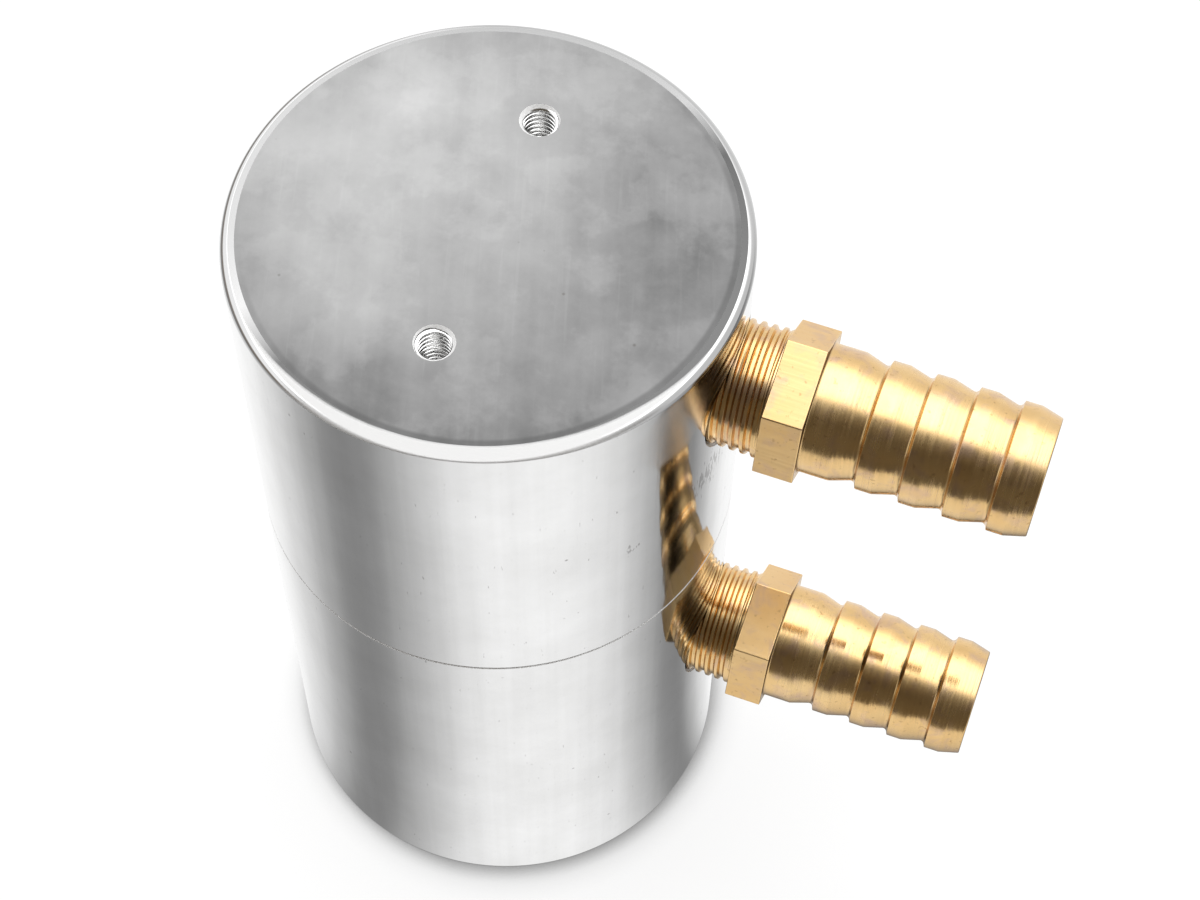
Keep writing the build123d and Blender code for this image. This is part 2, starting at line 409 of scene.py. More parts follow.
def buffed_edge_aluminium():
    """Edges and mouths that were broken by hand: bright metal, softly buffed to a white haze."""
    make, place = new_finish("buffed_edge_aluminium")
    cloud = make.noise(place, 120.0, 4.0)
    colour = make.ramp(cloud, [(0.3, (0.93, 0.93, 0.93)), (0.7, (0.97, 0.97, 0.968))])
    gloss = make.ramp(cloud, [(0.3, 0.36), (0.7, 0.44)])
    return make.coat(colour, gloss, cloud, strength=0.02, depth=0.0002, metal=0.1)


mirror = mirror_aluminium()
bored = bored_aluminium()
buffed_edge = buffed_edge_aluminium()
cup_bottom = outline([(0, 0), (can_radius - base_break, 0), (can_radius, base_break)], [0, 0, 0])
cup_wall, cup_around = ported_wall(
    can_radius, base_break, cup_height - seam_round, lower_port, outer_window, outwards, port_sink
)
seam_edge = outline(
    [(can_radius, base_break), (can_radius, cup_height), (spigot_radius, cup_height)], [0, seam_round, 0]
)
bore_wall, bore_around = ported_wall(
    cup_bore_radius, cup_floor + bowl_round, spigot_top, lower_port, inner_window, inwards
)
cup_bowl = outline(
    [(cup_bore_radius, cup_floor + 2 * bowl_round), (cup_bore_radius, cup_floor), (0, cup_floor)],
    [0, bowl_round, 0],
)
sink_wall, thread_wall = port_walls(can_radius, cup_bore_radius, lower_port, cup_around, bore_around)
cup_sheets = [
    *finished(mirror, turned(cup_bottom, turns), *cup_wall),
    *finished(buffed_edge, turned([a[1:-1] for a in seam_edge], turns)),
    *finished(
        bored,
        flat_ring(spigot_radius, can_radius - seam_round, cup_height, upwards, turns),
        screw(spigot_thread, cup_height, spigot_top, joint_pitch, turns, outwards),
        flat_ring(cup_bore_radius, spigot_radius - spigot_lead_in, spigot_top, upwards, turns),
        *bore_wall,
        turned([a[1:] for a in cup_bowl], turns),
    ),
    *finished(buffed_edge, sink_wall),
    *finished(bored, thread_wall),
]
lower_cup = weld("lower_cup_turned", cup_sheets, [mirror, bored, buffed_edge])
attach(lower_cup, "cup")
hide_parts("lower_cup")

# Lower hose barb: turned from brass hexagon bar. One side of the hexagon has a taper pipe thread, wound into
# the cup's port, and the other a tail of four saw-tooth rings that a hose is pushed over. The brass is bare,
# with fine tool lines and a light tarnish.
thread_end = 28.975
thread_neck = 47.7
thread_pitch = 1.814
thread_depth = 0.62
thread_crest = 0.28
thread_root = 0.3
thread_lead_in = 1.0
hex_inner = 47.975
hex_outer = 54.575
hex_apothem = 11.1
hex_corner_round = 0.3
hex_edge_round = 0.18
corner_points = 5
flat_points = 27
lower_corner_turn = 16.3
barb_bore = 7.5
barb_crest = 10.5
barb_root = 9.4
fillet_reach = 0.5
fillet_round = 0.45
collar_length = 5.0
collar_root = 9.25
collar_round = 1.5
tooth_start = 63.975
tooth_pitch = 7.05
tooth_land = 2.7
tooth_step = 0.45
tooth_count = 4
edge_round = 0.12
land_round = 0.2
root_round = 0.7
tail_end = 91.375
tail_tip = 9.55
tip_round = 0.3
mouth_break = 0.6
mouth_round = 0.1


def hexagon(corner_turn):
    """Outline of the hexagon with its corners rounded: each corner's arc is swept from one flat's normal to
    the next's, and the flats between are straight. Returns points and normals in the (y, z) plane, as rows
    that start and end at the same place."""
    reach = (hex_apothem - hex_corner_round) / math.cos(math.pi / 6)
    corner = math.radians(corner_turn) + np.arange(6) * np.pi / 3
    sweep = corner[:, None] + np.linspace(-np.pi / 6, np.pi / 6, corner_points)
    arc_normal = np.stack([np.cos(sweep), np.sin(sweep)], -1)
    centre = reach * np.stack([np.cos(corner), np.sin(corner)], -1)
    arc = centre[:, None] + hex_corner_round * arc_normal
    share = np.linspace(0, 1, flat_points + 2)[1:-1, None]
    flat = arc[:, -1:] + share * (np.roll(arc[:, :1], -1, axis=0) - arc[:, -1:])
    flat_normal = np.repeat(arc_normal[:, -1:], flat.shape[1], axis=1)
    points = np.concatenate([arc, flat], axis=1).reshape(-1, 2)
    normals = np.concatenate([arc_normal, flat_normal], axis=1).reshape(-1, 2)
    return np.concatenate([points, points[:1]]), np.concatenate([normals, normals[:1]])


def pipe_thread(height, phase):
    """Radius of the taper pipe thread: its cone, cut by the thread, which grows in at the end's lead-in and
    fades into a plain neck at the hexagon."""
    deep = thread_depth * np.clip((thread_neck - height) / (thread_pitch / 2), 0, 1)
    cut = pipe_cone(height) - deep * (1 - ridge(phase, thread_crest, thread_root))
    return np.minimum(cut, pipe_cone(thread_end) - thread_lead_in + height - thread_end)


def tail_steps():
    """The hose tail's corners as (place along the axis, radius, round): the collar, then each saw tooth's
    sharp edge, its land and the foot of its slope. The last slope ends at the tail's tip."""
    steps = [
        (hex_outer + collar_length, barb_crest, collar_round),
        (tooth_start - tooth_step, collar_root, root_round),
    ]
    for i in range(tooth_count):
        edge = tooth_start + i * tooth_pitch
        steps += [
            (edge, barb_crest, edge_round),
            (edge + tooth_land, barb_crest, land_round),
            (edge + tooth_pitch - tooth_step, barb_root, root_round),
        ]
    return [*steps[:-1], (tail_end, tail_tip, tip_round)]


def laid_over(sheet, port):
    """Turn a piece made round the Z axis so that its axis points along +X at the port's height: the axes move
    round by one place, so left and right stay as they were."""
    point, normal = sheet
    return np.roll(point, 1, axis=-1) + (0, 0, port), np.roll(normal, 1, axis=-1)


def bare_brass(name, grain_scale, grain_depth, gloss_range):
    """Bare brass: yellow metal, browner where it has tarnished in clouds, with faint purple patches and small
    dull specks. Tool lines run across the axis where it is turned, and draw lines along it on the flats."""
    make, place = new_finish(name)
    lines = make.noise(make.mapped(place, Scale=grain_scale), 2600.0, 3.0)
    cloud = make.noise(place, 90.0, 6.0, Roughness=0.6)
    patch = make.noise(place, 260.0, 4.0, Distortion=0.6)
    fleck = make.noise(place, 1100.0, 2.0)
    yellow = make.ramp(cloud, [(0.3, (0.82, 0.53, 0.225)), (0.7, (0.91, 0.645, 0.32))])
    purple = make.ramp(patch, [(0.5, 0.0), (0.7, 0.65)])
    tarnished = make.mix(purple, yellow, (0.66, 0.45, 0.33, 1))
    specks = make.ramp(fleck, [(0.64, 0.0), (0.74, 0.6)])
    colour = make.mix(specks, tarnished, (0.50, 0.30, 0.13, 1))
    uneven = make.maths("MULTIPLY", cloud, lines)
    gloss = make.ramp(uneven, [(0.15, gloss_range[0]), (0.4, gloss_range[1])])
    return make.coat(colour, gloss, lines, strength=grain_depth, depth=0.0002)


turned_brass = bare_brass("turned_brass", (1, 0.02, 0.02), 0.22, (0.17, 0.31))
drawn_brass = bare_brass("drawn_brass", (0.03, 1, 1), 0.05, (0.34, 0.46))


def hose_barb(name, port, corner_turn):
    """The whole fitting, made round the Z axis from the thread's end upwards and then laid over. The columns
    of every grid are the directions of the hexagon's outline points, so that the round parts and the hexagon
    share their edges."""
    hexa, hexa_normal = hexagon(corner_turn)
    zero = 0 * hexa[:, :1]
    angles = np.unwrap(np.arctan2(hexa[:, 1], hexa[:, 0]))
    end_phase = thread_end / thread_pitch - angles / full_turn
    end_radius = pipe_thread(np.full_like(angles, thread_end), end_phase)
    neck = outline([(pipe_cone(thread_neck), thread_neck), (port_thread_radius, hex_inner)], [0, 0])
    sheets = [
        flat_ring(barb_bore, end_radius, thread_end, downwards, angles),
        screw(pipe_thread, thread_end, thread_neck, thread_pitch, angles, outwards, per_turn=24),
        turned(neck, angles),
    ]
    reach = np.hypot(hexa[:, 0], hexa[:, 1])
    flat_reach = reach - hex_edge_round
    rim = hexa * (flat_reach / reach)[:, None]
    sweep = np.linspace(0, np.pi / 2, 6)[:, None, None]
    fillet_radius = barb_crest + fillet_reach
    for face, way, inner in ((hex_inner, downwards, port_thread_radius), (hex_outer, upwards, fillet_radius)):
        sheets.append(flat_ring(inner, flat_reach, face, way, angles))
        edge = np.concatenate([
            rim + hex_edge_round * np.sin(sweep) * hexa / reach[:, None],
            face - way * hex_edge_round * (1 - np.cos(sweep)) + zero[None],
        ], -1)
        edge_normal = np.concatenate([np.sin(sweep) * hexa_normal, way * np.cos(sweep) + zero[None]], -1)
        sheets.append((edge, edge_normal) if way < 0 else (edge[::-1], edge_normal[::-1]))
    side_low = np.concatenate([hexa, zero + hex_inner + hex_edge_round], -1)
    side_high = np.concatenate([hexa, zero + hex_outer - hex_edge_round], -1)
    side_normal = np.concatenate([hexa_normal, zero], -1)
    sides = (np.stack([side_low, side_high]), np.stack([side_normal, side_normal]))
    steps = tail_steps()
    corners = [(fillet_radius, hex_outer), (barb_crest, hex_outer)]
    corners += [(radius, along) for along, radius, _ in steps]
    corners += [(barb_bore + mouth_break, tail_end), (barb_bore, tail_end - mouth_break)]
    corners += [(barb_bore, thread_end)]
    rounds = [0, fillet_round, *[step[2] for step in steps], mouth_round, mouth_round, 0]
    sheets.append(turned(outline(corners, rounds), angles))
    laid = finished(drawn_brass, laid_over(sides, port))
    laid += finished(turned_brass, *[laid_over(sheet, port) for sheet in sheets])
    return weld(name, laid, [turned_brass, drawn_brass])


lower_barb = hose_barb("lower_hose_barb_turned", lower_port, lower_corner_turn)
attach(lower_barb, "cup")
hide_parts("lower_hose_barb")

# Seal ring: a plain O-ring of black rubber, moulded in one piece, that lies round the spigot's root and is
# squeezed between the cup's shoulder and the housing's skirt.
seal_centre_radius = 36.835
seal_centre_height = 90.46
seal_section_radius = 1.31
seal_steps = 24


def black_rubber():
    """Moulded rubber: near black, dull, with a fine grain and a little grey bloom."""
    make, place = new_finish("black_rubber")
    grain = make.noise(place, 2200.0, 3.0)
    bloom = make.noise(place, 120.0, 4.0)
    colour = make.ramp(bloom, [(0.35, (0.012, 0.012, 0.013)), (0.75, (0.035, 0.034, 0.034))])
    gloss = make.ramp(grain, [(0.3, 0.45), (0.7, 0.6)])
    return make.coat(colour, gloss, grain, strength=0.1, depth=0.0001, metal=0.0)


rubber = black_rubber()
swing = np.linspace(0, full_turn, seal_steps + 1)
seal_normal = np.stack([np.cos(swing), np.sin(swing)], -1)
seal_section = (seal_normal * seal_section_radius + (seal_centre_radius, seal_centre_height), seal_normal)
seal_ring = weld("seal_ring_moulded", finished(rubber, turned(seal_section, turns)), [rubber])
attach(seal_ring, "seal")
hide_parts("seal_ring")

# Upper housing: the can's upper half, turned from aluminium bar and closed on top. Its skirt screws down over
# the cup's spigot, its side has the second tapped port, and two tapped holes in the top take a bracket's
# bolts. The side is buffed like the cup's, and the top is left satin.
can_top = 157.5
top_round = 2.5
bevel_tilt = math.radians(12.0)
bevel_least = 1.05
bevel_more = 1.25
bevel_widest = math.radians(-75.0)
side_top = 154.9
seam_break = 0.3
gland_radius = 38.295
gland_top = 91.92
skirt_radius = 36.675
skirt_top = 104.0
skirt_thread_depth = 1.05
skirt_thread_low = gland_top + 0.4
skirt_thread_high = skirt_top - 1.2
skirt_run_in = 1.5
groove_radius = 33.0
groove_low = 105.2
groove_high = 107.3
stack_shoulder = 121.2
chamber_radius = 30.0
chamber_top = 147.5
chamber_round = 1.0
upper_port = 136.2
bolt_place = 22.225
bolt_mouth = 3.25
bolt_sink = 0.5
bolt_tapping = 2.5
bolt_thread = 0.55
bolt_crest = 0.38
bolt_root = 0.3
bolt_pitch = 1.0
bolt_bottom = 148.4
bolt_tip = 147.9
half_turn = (-1, -1, 1)


def skirt_thread(height, phase):
    """Radius inside the skirt: the spigot's thread with about a quarter of a millimetre of play, in step with
    it when the two are screwed home, and plain at both ends."""
    grown = np.clip((height - skirt_thread_low) / skirt_run_in, 0, 1)
    grown = grown * np.clip((skirt_thread_high - height) / skirt_run_in, 0, 1)
    return skirt_radius - skirt_thread_depth * (1 - ridge(phase)) * grown


def bolt_hole_thread(height, phase):
    """Radius of a tapped hole: the thread, widened at the mouth by the countersink's cone."""
    grown = np.clip((height - bolt_bottom) / bolt_pitch, 0, 1)
    sink = bolt_mouth - (can_top - height)
    return np.maximum(bolt_tapping + bolt_thread * (1 - ridge(phase, bolt_crest, bolt_root)) * grown, sink)


def half_top():
    """Half of the top face with one tapped hole in it, as the face, the thread, the mouth and the drill's
    point. Straight lines run from the half disc's border in to the hole's mouth, and the hole's grids use the
    same directions."""
    arc = turns[: round_steps // 2 + 1]
    rim = can_radius - top_round
    chord = np.linspace(-rim, rim, 65)[1:]
    border_x = np.concatenate([rim * np.cos(arc), chord])
    border_y = np.concatenate([rim * np.sin(arc), 0 * chord])
    angles = np.unwrap(np.arctan2(border_y - bolt_place, border_x))
    share = np.linspace(0, 1, 12)[:, None]
    mouth_x, mouth_y = bolt_mouth * np.cos(angles), bolt_place + bolt_mouth * np.sin(angles)
    x = border_x + share * (mouth_x - border_x)
    y = border_y + share * (mouth_y - border_y)
    face = np.stack([x, y, 0 * x + can_top], -1)
    face_normal = np.zeros_like(face)
    face_normal[..., 2] = 1
    neck_height = can_top - bolt_sink
    hole = screw(bolt_hole_thread, bolt_bottom, neck_height, bolt_pitch, angles, inwards)
    mouth = turned(outline([(bolt_mouth, can_top), (bolt_mouth - bolt_sink, neck_height)], [0, 0]), angles)
    neck_phase = neck_height / bolt_pitch - angles / full_turn
    neck_radius = bolt_hole_thread(np.full_like(angles, neck_height), neck_phase)
    mouth[0][-1, :, :2] *= (neck_radius / (bolt_mouth - bolt_sink))[:, None]
    point = turned(outline([(bolt_tapping, bolt_bottom), (0, bolt_tip)], [0, 0]), angles)
    moved = [(p + (0, bolt_place, 0), n) for p, n in (hole, mouth, point)]
    return [(face, face_normal), *moved]


def beveled_rim(angles):
    """The top edge's three grids: the straight strip under it, its round and its bevel. The bevel runs out
    and down at its tilt. Its width is the least one, plus more times the cube of the cosine of the angle from
    its widest place, and plus nothing behind. The round has the radius that brings it out to the side."""
    lobe = np.clip(np.cos(angles - bevel_widest), 0, 1) ** 3
    width = bevel_least + bevel_more * lobe
    size = (top_round - width) / (1 - math.sin(bevel_tilt))
    drop = can_top - width * math.tan(bevel_tilt)
    tilt = np.linspace(math.pi / 2, bevel_tilt, 13)[:, None] + 0 * angles
    radius = can_radius - size * (1 - np.sin(tilt))
    height = drop - size * (math.cos(bevel_tilt) - np.cos(tilt))
    share = np.linspace(0, 1, 4)[:, None]
    strip_height = side_top + (height[:1] - side_top) * share
    bevel_radius = can_radius - top_round + width * (1 - share)
    bevel_height = drop + (can_top - drop) * share
    cosine, sine = np.cos(angles), np.sin(angles)
    grids = []
    for r, h, t in (
        (0 * strip_height + can_radius, strip_height, 0 * strip_height + math.pi / 2),
        (radius, height, tilt),
        (bevel_radius, bevel_height, 0 * bevel_radius + bevel_tilt),
    ):
        point = np.stack([r * cosine, r * sine, h], -1)
        grids.append((point, np.stack([np.sin(t) * cosine, np.sin(t) * sine, np.cos(t)], -1)))
    return grids


def satin_top_aluminium():
    """The top's satin face: duller grey metal with cloudy handling marks, faint straight wiping streaks and a
    few dark specks. It is paler round a spot towards the back left, and it has a painted shade, a darker ring
    along the edge on the front right."""
    make, place = new_finish("satin_top_aluminium")
    lengthwise = {"vector_type": "TEXTURE"}
    cloud = make.noise(place, 60.0, 9.0, Roughness=0.62, Distortion=0.1)
    wiped = make.mapped(place, lengthwise, Rotation=(0, 0, 0.33), Scale=(1, 12, 1))
    streak = make.noise(wiped, 260.0, 4.0)
    mixed = make.maths("MULTIPLY_ADD", streak, 0.3, cloud)
    marks = make.maths("ADD", mixed, make.noise(place, 15.0, 3.0))
    blotch = make.noise(place, 85.0, 7.0, Roughness=0.6)
    combed = make.mapped(place, lengthwise, Rotation=(0, 0, 0.3), Scale=(1, 20, 1))
    hairs = make.span(make.noise(combed, 1300.0, 3.0), 0.6, 0.72, 0.0, 0.05)
    fine = make.maths("ADD", make.span(blotch, 0.49, 0.57, -0.06, 0.06), hairs)
    level = make.span(make.maths("ADD", marks, fine), 0.85, 1.45, clamp=False)
    # Paler round a spot towards the back left.
    middle = make.ball(place, (0.34, -0.28, 0), (16.5, 16.5, 0))
    level_and_pale_spot = make.maths("MULTIPLY_ADD", level, 0.8, middle)
    face = make.span(level_and_pale_spot, 0.15, 1.5, 0.125, 0.45, clamp=False)
    # Painted shade: a darker ring along the edge, towards the front right.
    rim = make.span(make.distance(make.mapped(place, Scale=(1, 1, 0))), 0.0376, 0.0381)
    side = make.span(make.reach(place, (0.7, -0.7, 0)), -0.015, 0.02, 0.0, 0.45)
    tone = make.mix(make.maths("MULTIPLY", rim, side), face, (0.07, 0.07, 0.07, 1))
    specks = make.dots(place, 170.0, 0.02, 0.06, [(0.56, 0.0), (0.6, 1.0)])
    colour = make.mix(specks, tone, (0.16, 0.155, 0.15, 1))
    gloss = make.ramp(level, [(0.0, 0.5), (1.0, 0.62)])
    return make.coat(colour, gloss, make.noise(place, 2400.0, 2.0), strength=0.06, depth=0.0001)


def tapped_aluminium():
    """Cut threads: bright metal with a sharp gloss and fine marks from the tap."""
    make, place = new_finish("tapped_aluminium")
    marks = make.noise(place, 1400.0, 3.0)
    colour = make.ramp(marks, [(0.3, (0.95, 0.948, 0.94)), (0.7, (0.98, 0.98, 0.978))])
    gloss = make.ramp(marks, [(0.3, 0.1), (0.7, 0.18)])
    return make.coat(colour, gloss, marks, strength=0.04, depth=0.0001)


def edge_aluminium(name, way, far_painted_tone, near_painted_tone, sharpest, haze):
    """The top edge: a white haze at the front. The haze is real in its duller, barely metallic gloss, and the
    near-white colour is a painted highlight. Round the rest of the can it is a sharper metal with painted
    shade:
    one tone on the side that the given way points to and another across. The haze comes in between two levels
    of a sum, of shares of the place's reach forward and of its radius."""
    make, place = new_finish(name)
    forward, outward, low, high = haze
    cloud = make.noise(place, 150.0, 4.0)
    uneven = make.maths("MULTIPLY_ADD", cloud, 0.004, make.reach(place, (0.26, -0.97, 0)))
    share = make.maths("MULTIPLY", uneven, forward)
    radius = make.distance(make.mapped(place, Scale=(1, 1, 0)))
    # The haze is real in the gloss and the metal. In the colour it is a painted highlight, near white at the
    # front.
    hazy = make.span(make.maths("MULTIPLY_ADD", radius, outward, share), low, high)
    # Painted shade: the tone is lighter on one side and darker across.
    tone = make.span(make.reach(place, (*way, 0)), -0.006, 0.006, far_painted_tone, near_painted_tone)
    colour = make.mix(hazy, tone, (0.74, 0.74, 0.738, 1))
    gloss = make.ramp(hazy, [(0.0, sharpest), (1.0, 0.42)])
    metal = make.ramp(hazy, [(0.0, 1.0), (1.0, 0.05)])
    return make.coat(colour, gloss, cloud, strength=0.02, depth=0.0002, metal=metal)


satin_top = satin_top_aluminium()
tapped = tapped_aluminium()
# Both edges carry painted light. The bevel has a painted dark shade at the front right, and the round a
# painted lighter side at the front left. Both have a painted white highlight at the front.
bevel_painted_light = edge_aluminium("bevel_aluminium_painted_light", (0.77, -0.64), 0.5, 0.11, 0.24, (0.0608, 1.0, 0.0411, 0.0416))
rim_round_painted_light = edge_aluminium("rim_aluminium_painted_light", (-0.87, -0.49), 0.6, 0.88, 0.1, (1.0, 0.0, 0.032, 0.0385))
edge_strip, edge_curve, edge_bevel = beveled_rim(turns)
housing_wall, housing_around = ported_wall(
    can_radius, cup_height + seam_break, side_top, upper_port, outer_window, outwards, port_sink
)
housing_foot = outline(
    [
        (skirt_radius, gland_top), (gland_radius, gland_top), (gland_radius, cup_height),
        (can_radius - seam_break, cup_height), (can_radius, cup_height + seam_break),
    ],
    [0] * 5,
)
housing_bore = outline(
    [
        (chamber_radius, stack_shoulder), (cup_bore_radius, stack_shoulder), (cup_bore_radius, groove_high),
        (groove_radius, groove_high), (groove_radius, groove_low), (cup_bore_radius, groove_low),
        (cup_bore_radius, skirt_top), (skirt_radius, skirt_top),
    ],
    [0] * 8,
)
chamber_wall, chamber_around = ported_wall(
    chamber_radius, stack_shoulder, chamber_top - chamber_round, upper_port, inner_window, inwards
)
chamber_roof = outline(
    [(0, chamber_top), (chamber_radius, chamber_top), (chamber_radius, chamber_top - 2 * chamber_round)],
    [0, chamber_round, 0],
)
sink_wall, thread_wall = port_walls(can_radius, chamber_radius, upper_port, housing_around, chamber_around)
housing_sheets = []
for finish, (point, normal) in zip((satin_top, tapped, buffed_edge, tapped), half_top()):
    housing_sheets += finished(finish, (point, normal), (point * half_turn, normal * half_turn))
housing_sheets += [
    *finished(mirror, edge_strip),
    *finished(rim_round_painted_light, edge_curve),
    *finished(bevel_painted_light, edge_bevel),
    *finished(mirror, *housing_wall),
    *finished(
        bored,
        turned(housing_foot, turns),
        screw(skirt_thread, gland_top, skirt_top, joint_pitch, turns, inwards, per_turn=10),
        turned(housing_bore, turns),
        *chamber_wall,
        turned([a[:-1] for a in chamber_roof], turns),
    ),
    *finished(buffed_edge, sink_wall),
    *finished(bored, thread_wall),
]
housing_finishes = [mirror, bored, satin_top, buffed_edge, tapped, bevel_painted_light, rim_round_painted_light]
upper_housing = weld("upper_housing_turned", housing_sheets, housing_finishes)
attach(upper_housing, "housing")
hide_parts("upper_housing")

# Screens: two discs punched from stainless sheet, one over and one under the wire pad, held in the housing's
# bore by the snap ring. Their solids have the right shape, so they keep it and get the sheet's finish.


def rolled_stainless():
    """Stainless sheet as rolled: grey metal with fine straight rolling lines and a soft gloss."""
    make, place = new_finish("rolled_stainless")
    lines = make.noise(make.mapped(place, Scale=(0.03, 1, 1)), 1800.0, 3.0)
    cloud = make.noise(place, 60.0, 4.0)
    colour = make.ramp(cloud, [(0.3, (0.50, 0.50, 0.49)), (0.7, (0.64, 0.64, 0.63))])
    gloss = make.ramp(lines, [(0.3, 0.26), (0.7, 0.4)])
    return make.coat(colour, gloss, lines, strength=0.12, depth=0.0001)


def dress(node, finish):
    """Give a solid that keeps its shape its finish."""
    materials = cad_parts[node].data.materials
    materials.clear()
    materials.append(finish)


stainless = rolled_stainless()
dress("upper_screen", stainless)
dress("lower_screen", stainless)

# Mesh pad: stainless wire knitted into a sleeve, flattened and wound up into a disc. The oil mist settles on
# the wire. It is pressed between the two screens.
pad_low = 108.7
pad_high = 119.7
pad_radius = 31.5
wire_radius = 0.16
wire_sides = 5
wire_rings = 15000
laps = 9
lap_pitch = 3.1
first_lap_radius = 2.6
first_lap_loops = 24
loops_gain = 1.45
loop_lean = 0.9


def wound_wire():
    """The wire's path and its round section. The path is a flat spiral, r = start + pitch x turns, along
    which the wire runs up and down in rounded loops, h = middle + half height x sine of the loop's angle,
    while it leans to both sides of the spiral by a little under a third of the pitch, at half that speed. The
    section is a ring of points at right angles to the path, on two directions taken from the path's tangent
    and the radius, and both tips are closed by a point."""
    lap = np.linspace(0, laps, wire_rings)
    angle = full_turn * lap
    loops = first_lap_loops * (lap + loops_gain * lap ** 2 / 2)
    radius = first_lap_radius + lap_pitch * lap + loop_lean * np.sin(np.pi * loops)
    radius = np.minimum(radius, pad_radius - 2 * wire_radius)
    lift = (pad_high - pad_low) / 2 - 2 * wire_radius
    height = (pad_low + pad_high) / 2 + lift * np.sin(full_turn * loops)
    path = np.stack([radius * np.cos(angle), radius * np.sin(angle), height], -1)
    tangent = np.gradient(path, axis=0)
    tangent /= np.linalg.norm(tangent, axis=1, keepdims=True)
    radial = np.stack([np.cos(angle), np.sin(angle), 0 * angle], -1)
    side = np.cross(tangent, radial)
    side /= np.linalg.norm(side, axis=1, keepdims=True)
    other = np.cross(side, tangent)
    spin = np.linspace(0, full_turn, wire_sides + 1)[None, :, None]
    normal = np.cos(spin) * other[:, None] + np.sin(spin) * side[:, None]
    point = path[:, None] + wire_radius * normal
    tips = path[[0, -1], None] + 0 * normal[:1]
    tip_normal = np.array([-1, 1])[:, None, None] * tangent[[0, -1], None] + 0 * normal[:1]
    point = np.concatenate([tips[:1], point, tips[1:]])
    return point, np.concatenate([tip_normal[:1], normal, tip_normal[1:]])


def drawn_wire():
    """Drawn stainless wire: grey metal, brighter and darker along its length, filmed with a trace of oil."""
    make, place = new_finish("drawn_wire")
    cloud = make.noise(place, 260.0, 4.0)
    colour = make.ramp(cloud, [(0.3, (0.40, 0.39, 0.36)), (0.7, (0.60, 0.59, 0.57))])
    return make.coat(colour, make.ramp(cloud, [(0.3, 0.22), (0.7, 0.38)]))


wire = drawn_wire()
mesh_pad = weld("mesh_pad_wire", finished(wire, wound_wire()), [wire])
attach(mesh_pad, "housing")
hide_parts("mesh_pad")

# Retaining ring: a snap ring stamped from spring steel and oiled black, sprung into the groove under the
# lower screen. Its solid has the right shape, so it keeps it and gets the steel's finish.


def oiled_spring_steel():
    """Spring steel, hardened and oiled: dark grey with brown clouds and a low gloss."""
    make, place = new_finish("oiled_spring_steel")
    cloud = make.noise(place, 140.0, 5.0)
    grain = make.noise(place, 1800.0, 2.0)
    colour = make.ramp(cloud, [(0.3, (0.16, 0.15, 0.145)), (0.7, (0.25, 0.24, 0.235))])
    return make.coat(colour, make.ramp(grain, [(0.3, 0.34), (0.7, 0.48)]), grain, strength=0.08, depth=0.0001)


dress("retaining_ring", oiled_spring_steel())

# Upper hose barb: the same brass fitting as the lower one, screwed into the housing's port. Its hexagon
# stopped at another angle.
upper_corner_turn = 20.2
upper_barb = hose_barb("upper_hose_barb_turned", upper_port, upper_corner_turn)
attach(upper_barb, "housing")
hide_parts("upper_hose_barb")

# Floor: a sheet of white card, which the camera sees white, with the can's shadow on it: a soft real one and
# a painted contact shadow, darkest where the card is closed in by the can and lighter on its left. The metal
# mirrors it with painted shade, soft, to both sides of the can, as if between two lamps, and painted dimmer
# at its far left. In an image of an image it is dimmer still on the barbs' side, but brighter under the barbs
# where the way to it is long.
camera_round = math.radians(19.0)
card_front = 285
card_back = 1800
card_side = 1400
card_corners = millimetre * np.array([
    (-card_side, -card_front, 0), (card_side, -card_front, 0),
    (card_side, card_back, 0), (-card_side, card_back, 0),
])
card_mesh = bpy.data.meshes.new("white_card")
card_mesh.from_pydata(card_corners, [], [(0, 1, 2, 3)])
card = bpy.data.objects.new("white_card", card_mesh)
bpy.context.scene.collection.objects.link(card)
make, place = new_finish("white_card")
seen = make.mapped(place, Rotation=(0, 0, -camera_round))
axes = make.add("ShaderNodeSeparateXYZ", Vector=seen)
bearing = make.maths("ARCTAN2", axes["X"], make.maths("MULTIPLY", axes["Y"], -1.0))
near = make.maths("DIVIDE", can_radius * millimetre, make.distance(seen))
bend = make.maths("DIVIDE", bearing, make.maths("MULTIPLY_ADD", near, -0.38, 1.0))
turn = make.maths("MULTIPLY_ADD", bend, 1 / (1.8 * math.pi), 0.5)
shade = make.ramp(turn, [
    (0.0, 1.05), (0.06, 0.99), (0.12, 0.87), (0.2, 0.58), (0.25, 0.35), (0.295, 0.25),
    (0.35, 0.36), (0.43, 0.7), (0.48, 0.91), (0.55, 0.97), (0.62, 0.92), (0.69, 0.71),
    (0.75, 0.39), (0.795, 0.25), (0.83, 0.34), (0.87, 0.65), (0.92, 0.93), (1.0, 1.05),
], "CARDINAL")
path = make.add("ShaderNodeLightPath")
mirrored = make.maths("MAXIMUM", path["Is Glossy Ray"], path["Is Transmission Ray"])
plain = make.add("ShaderNodeBsdfDiffuse", Color=(0.82, 0.82, 0.82, 1))[0]
soft = make.add("ShaderNodeBsdfDiffuse", Color=(0.2, 0.2, 0.2, 1))[0]
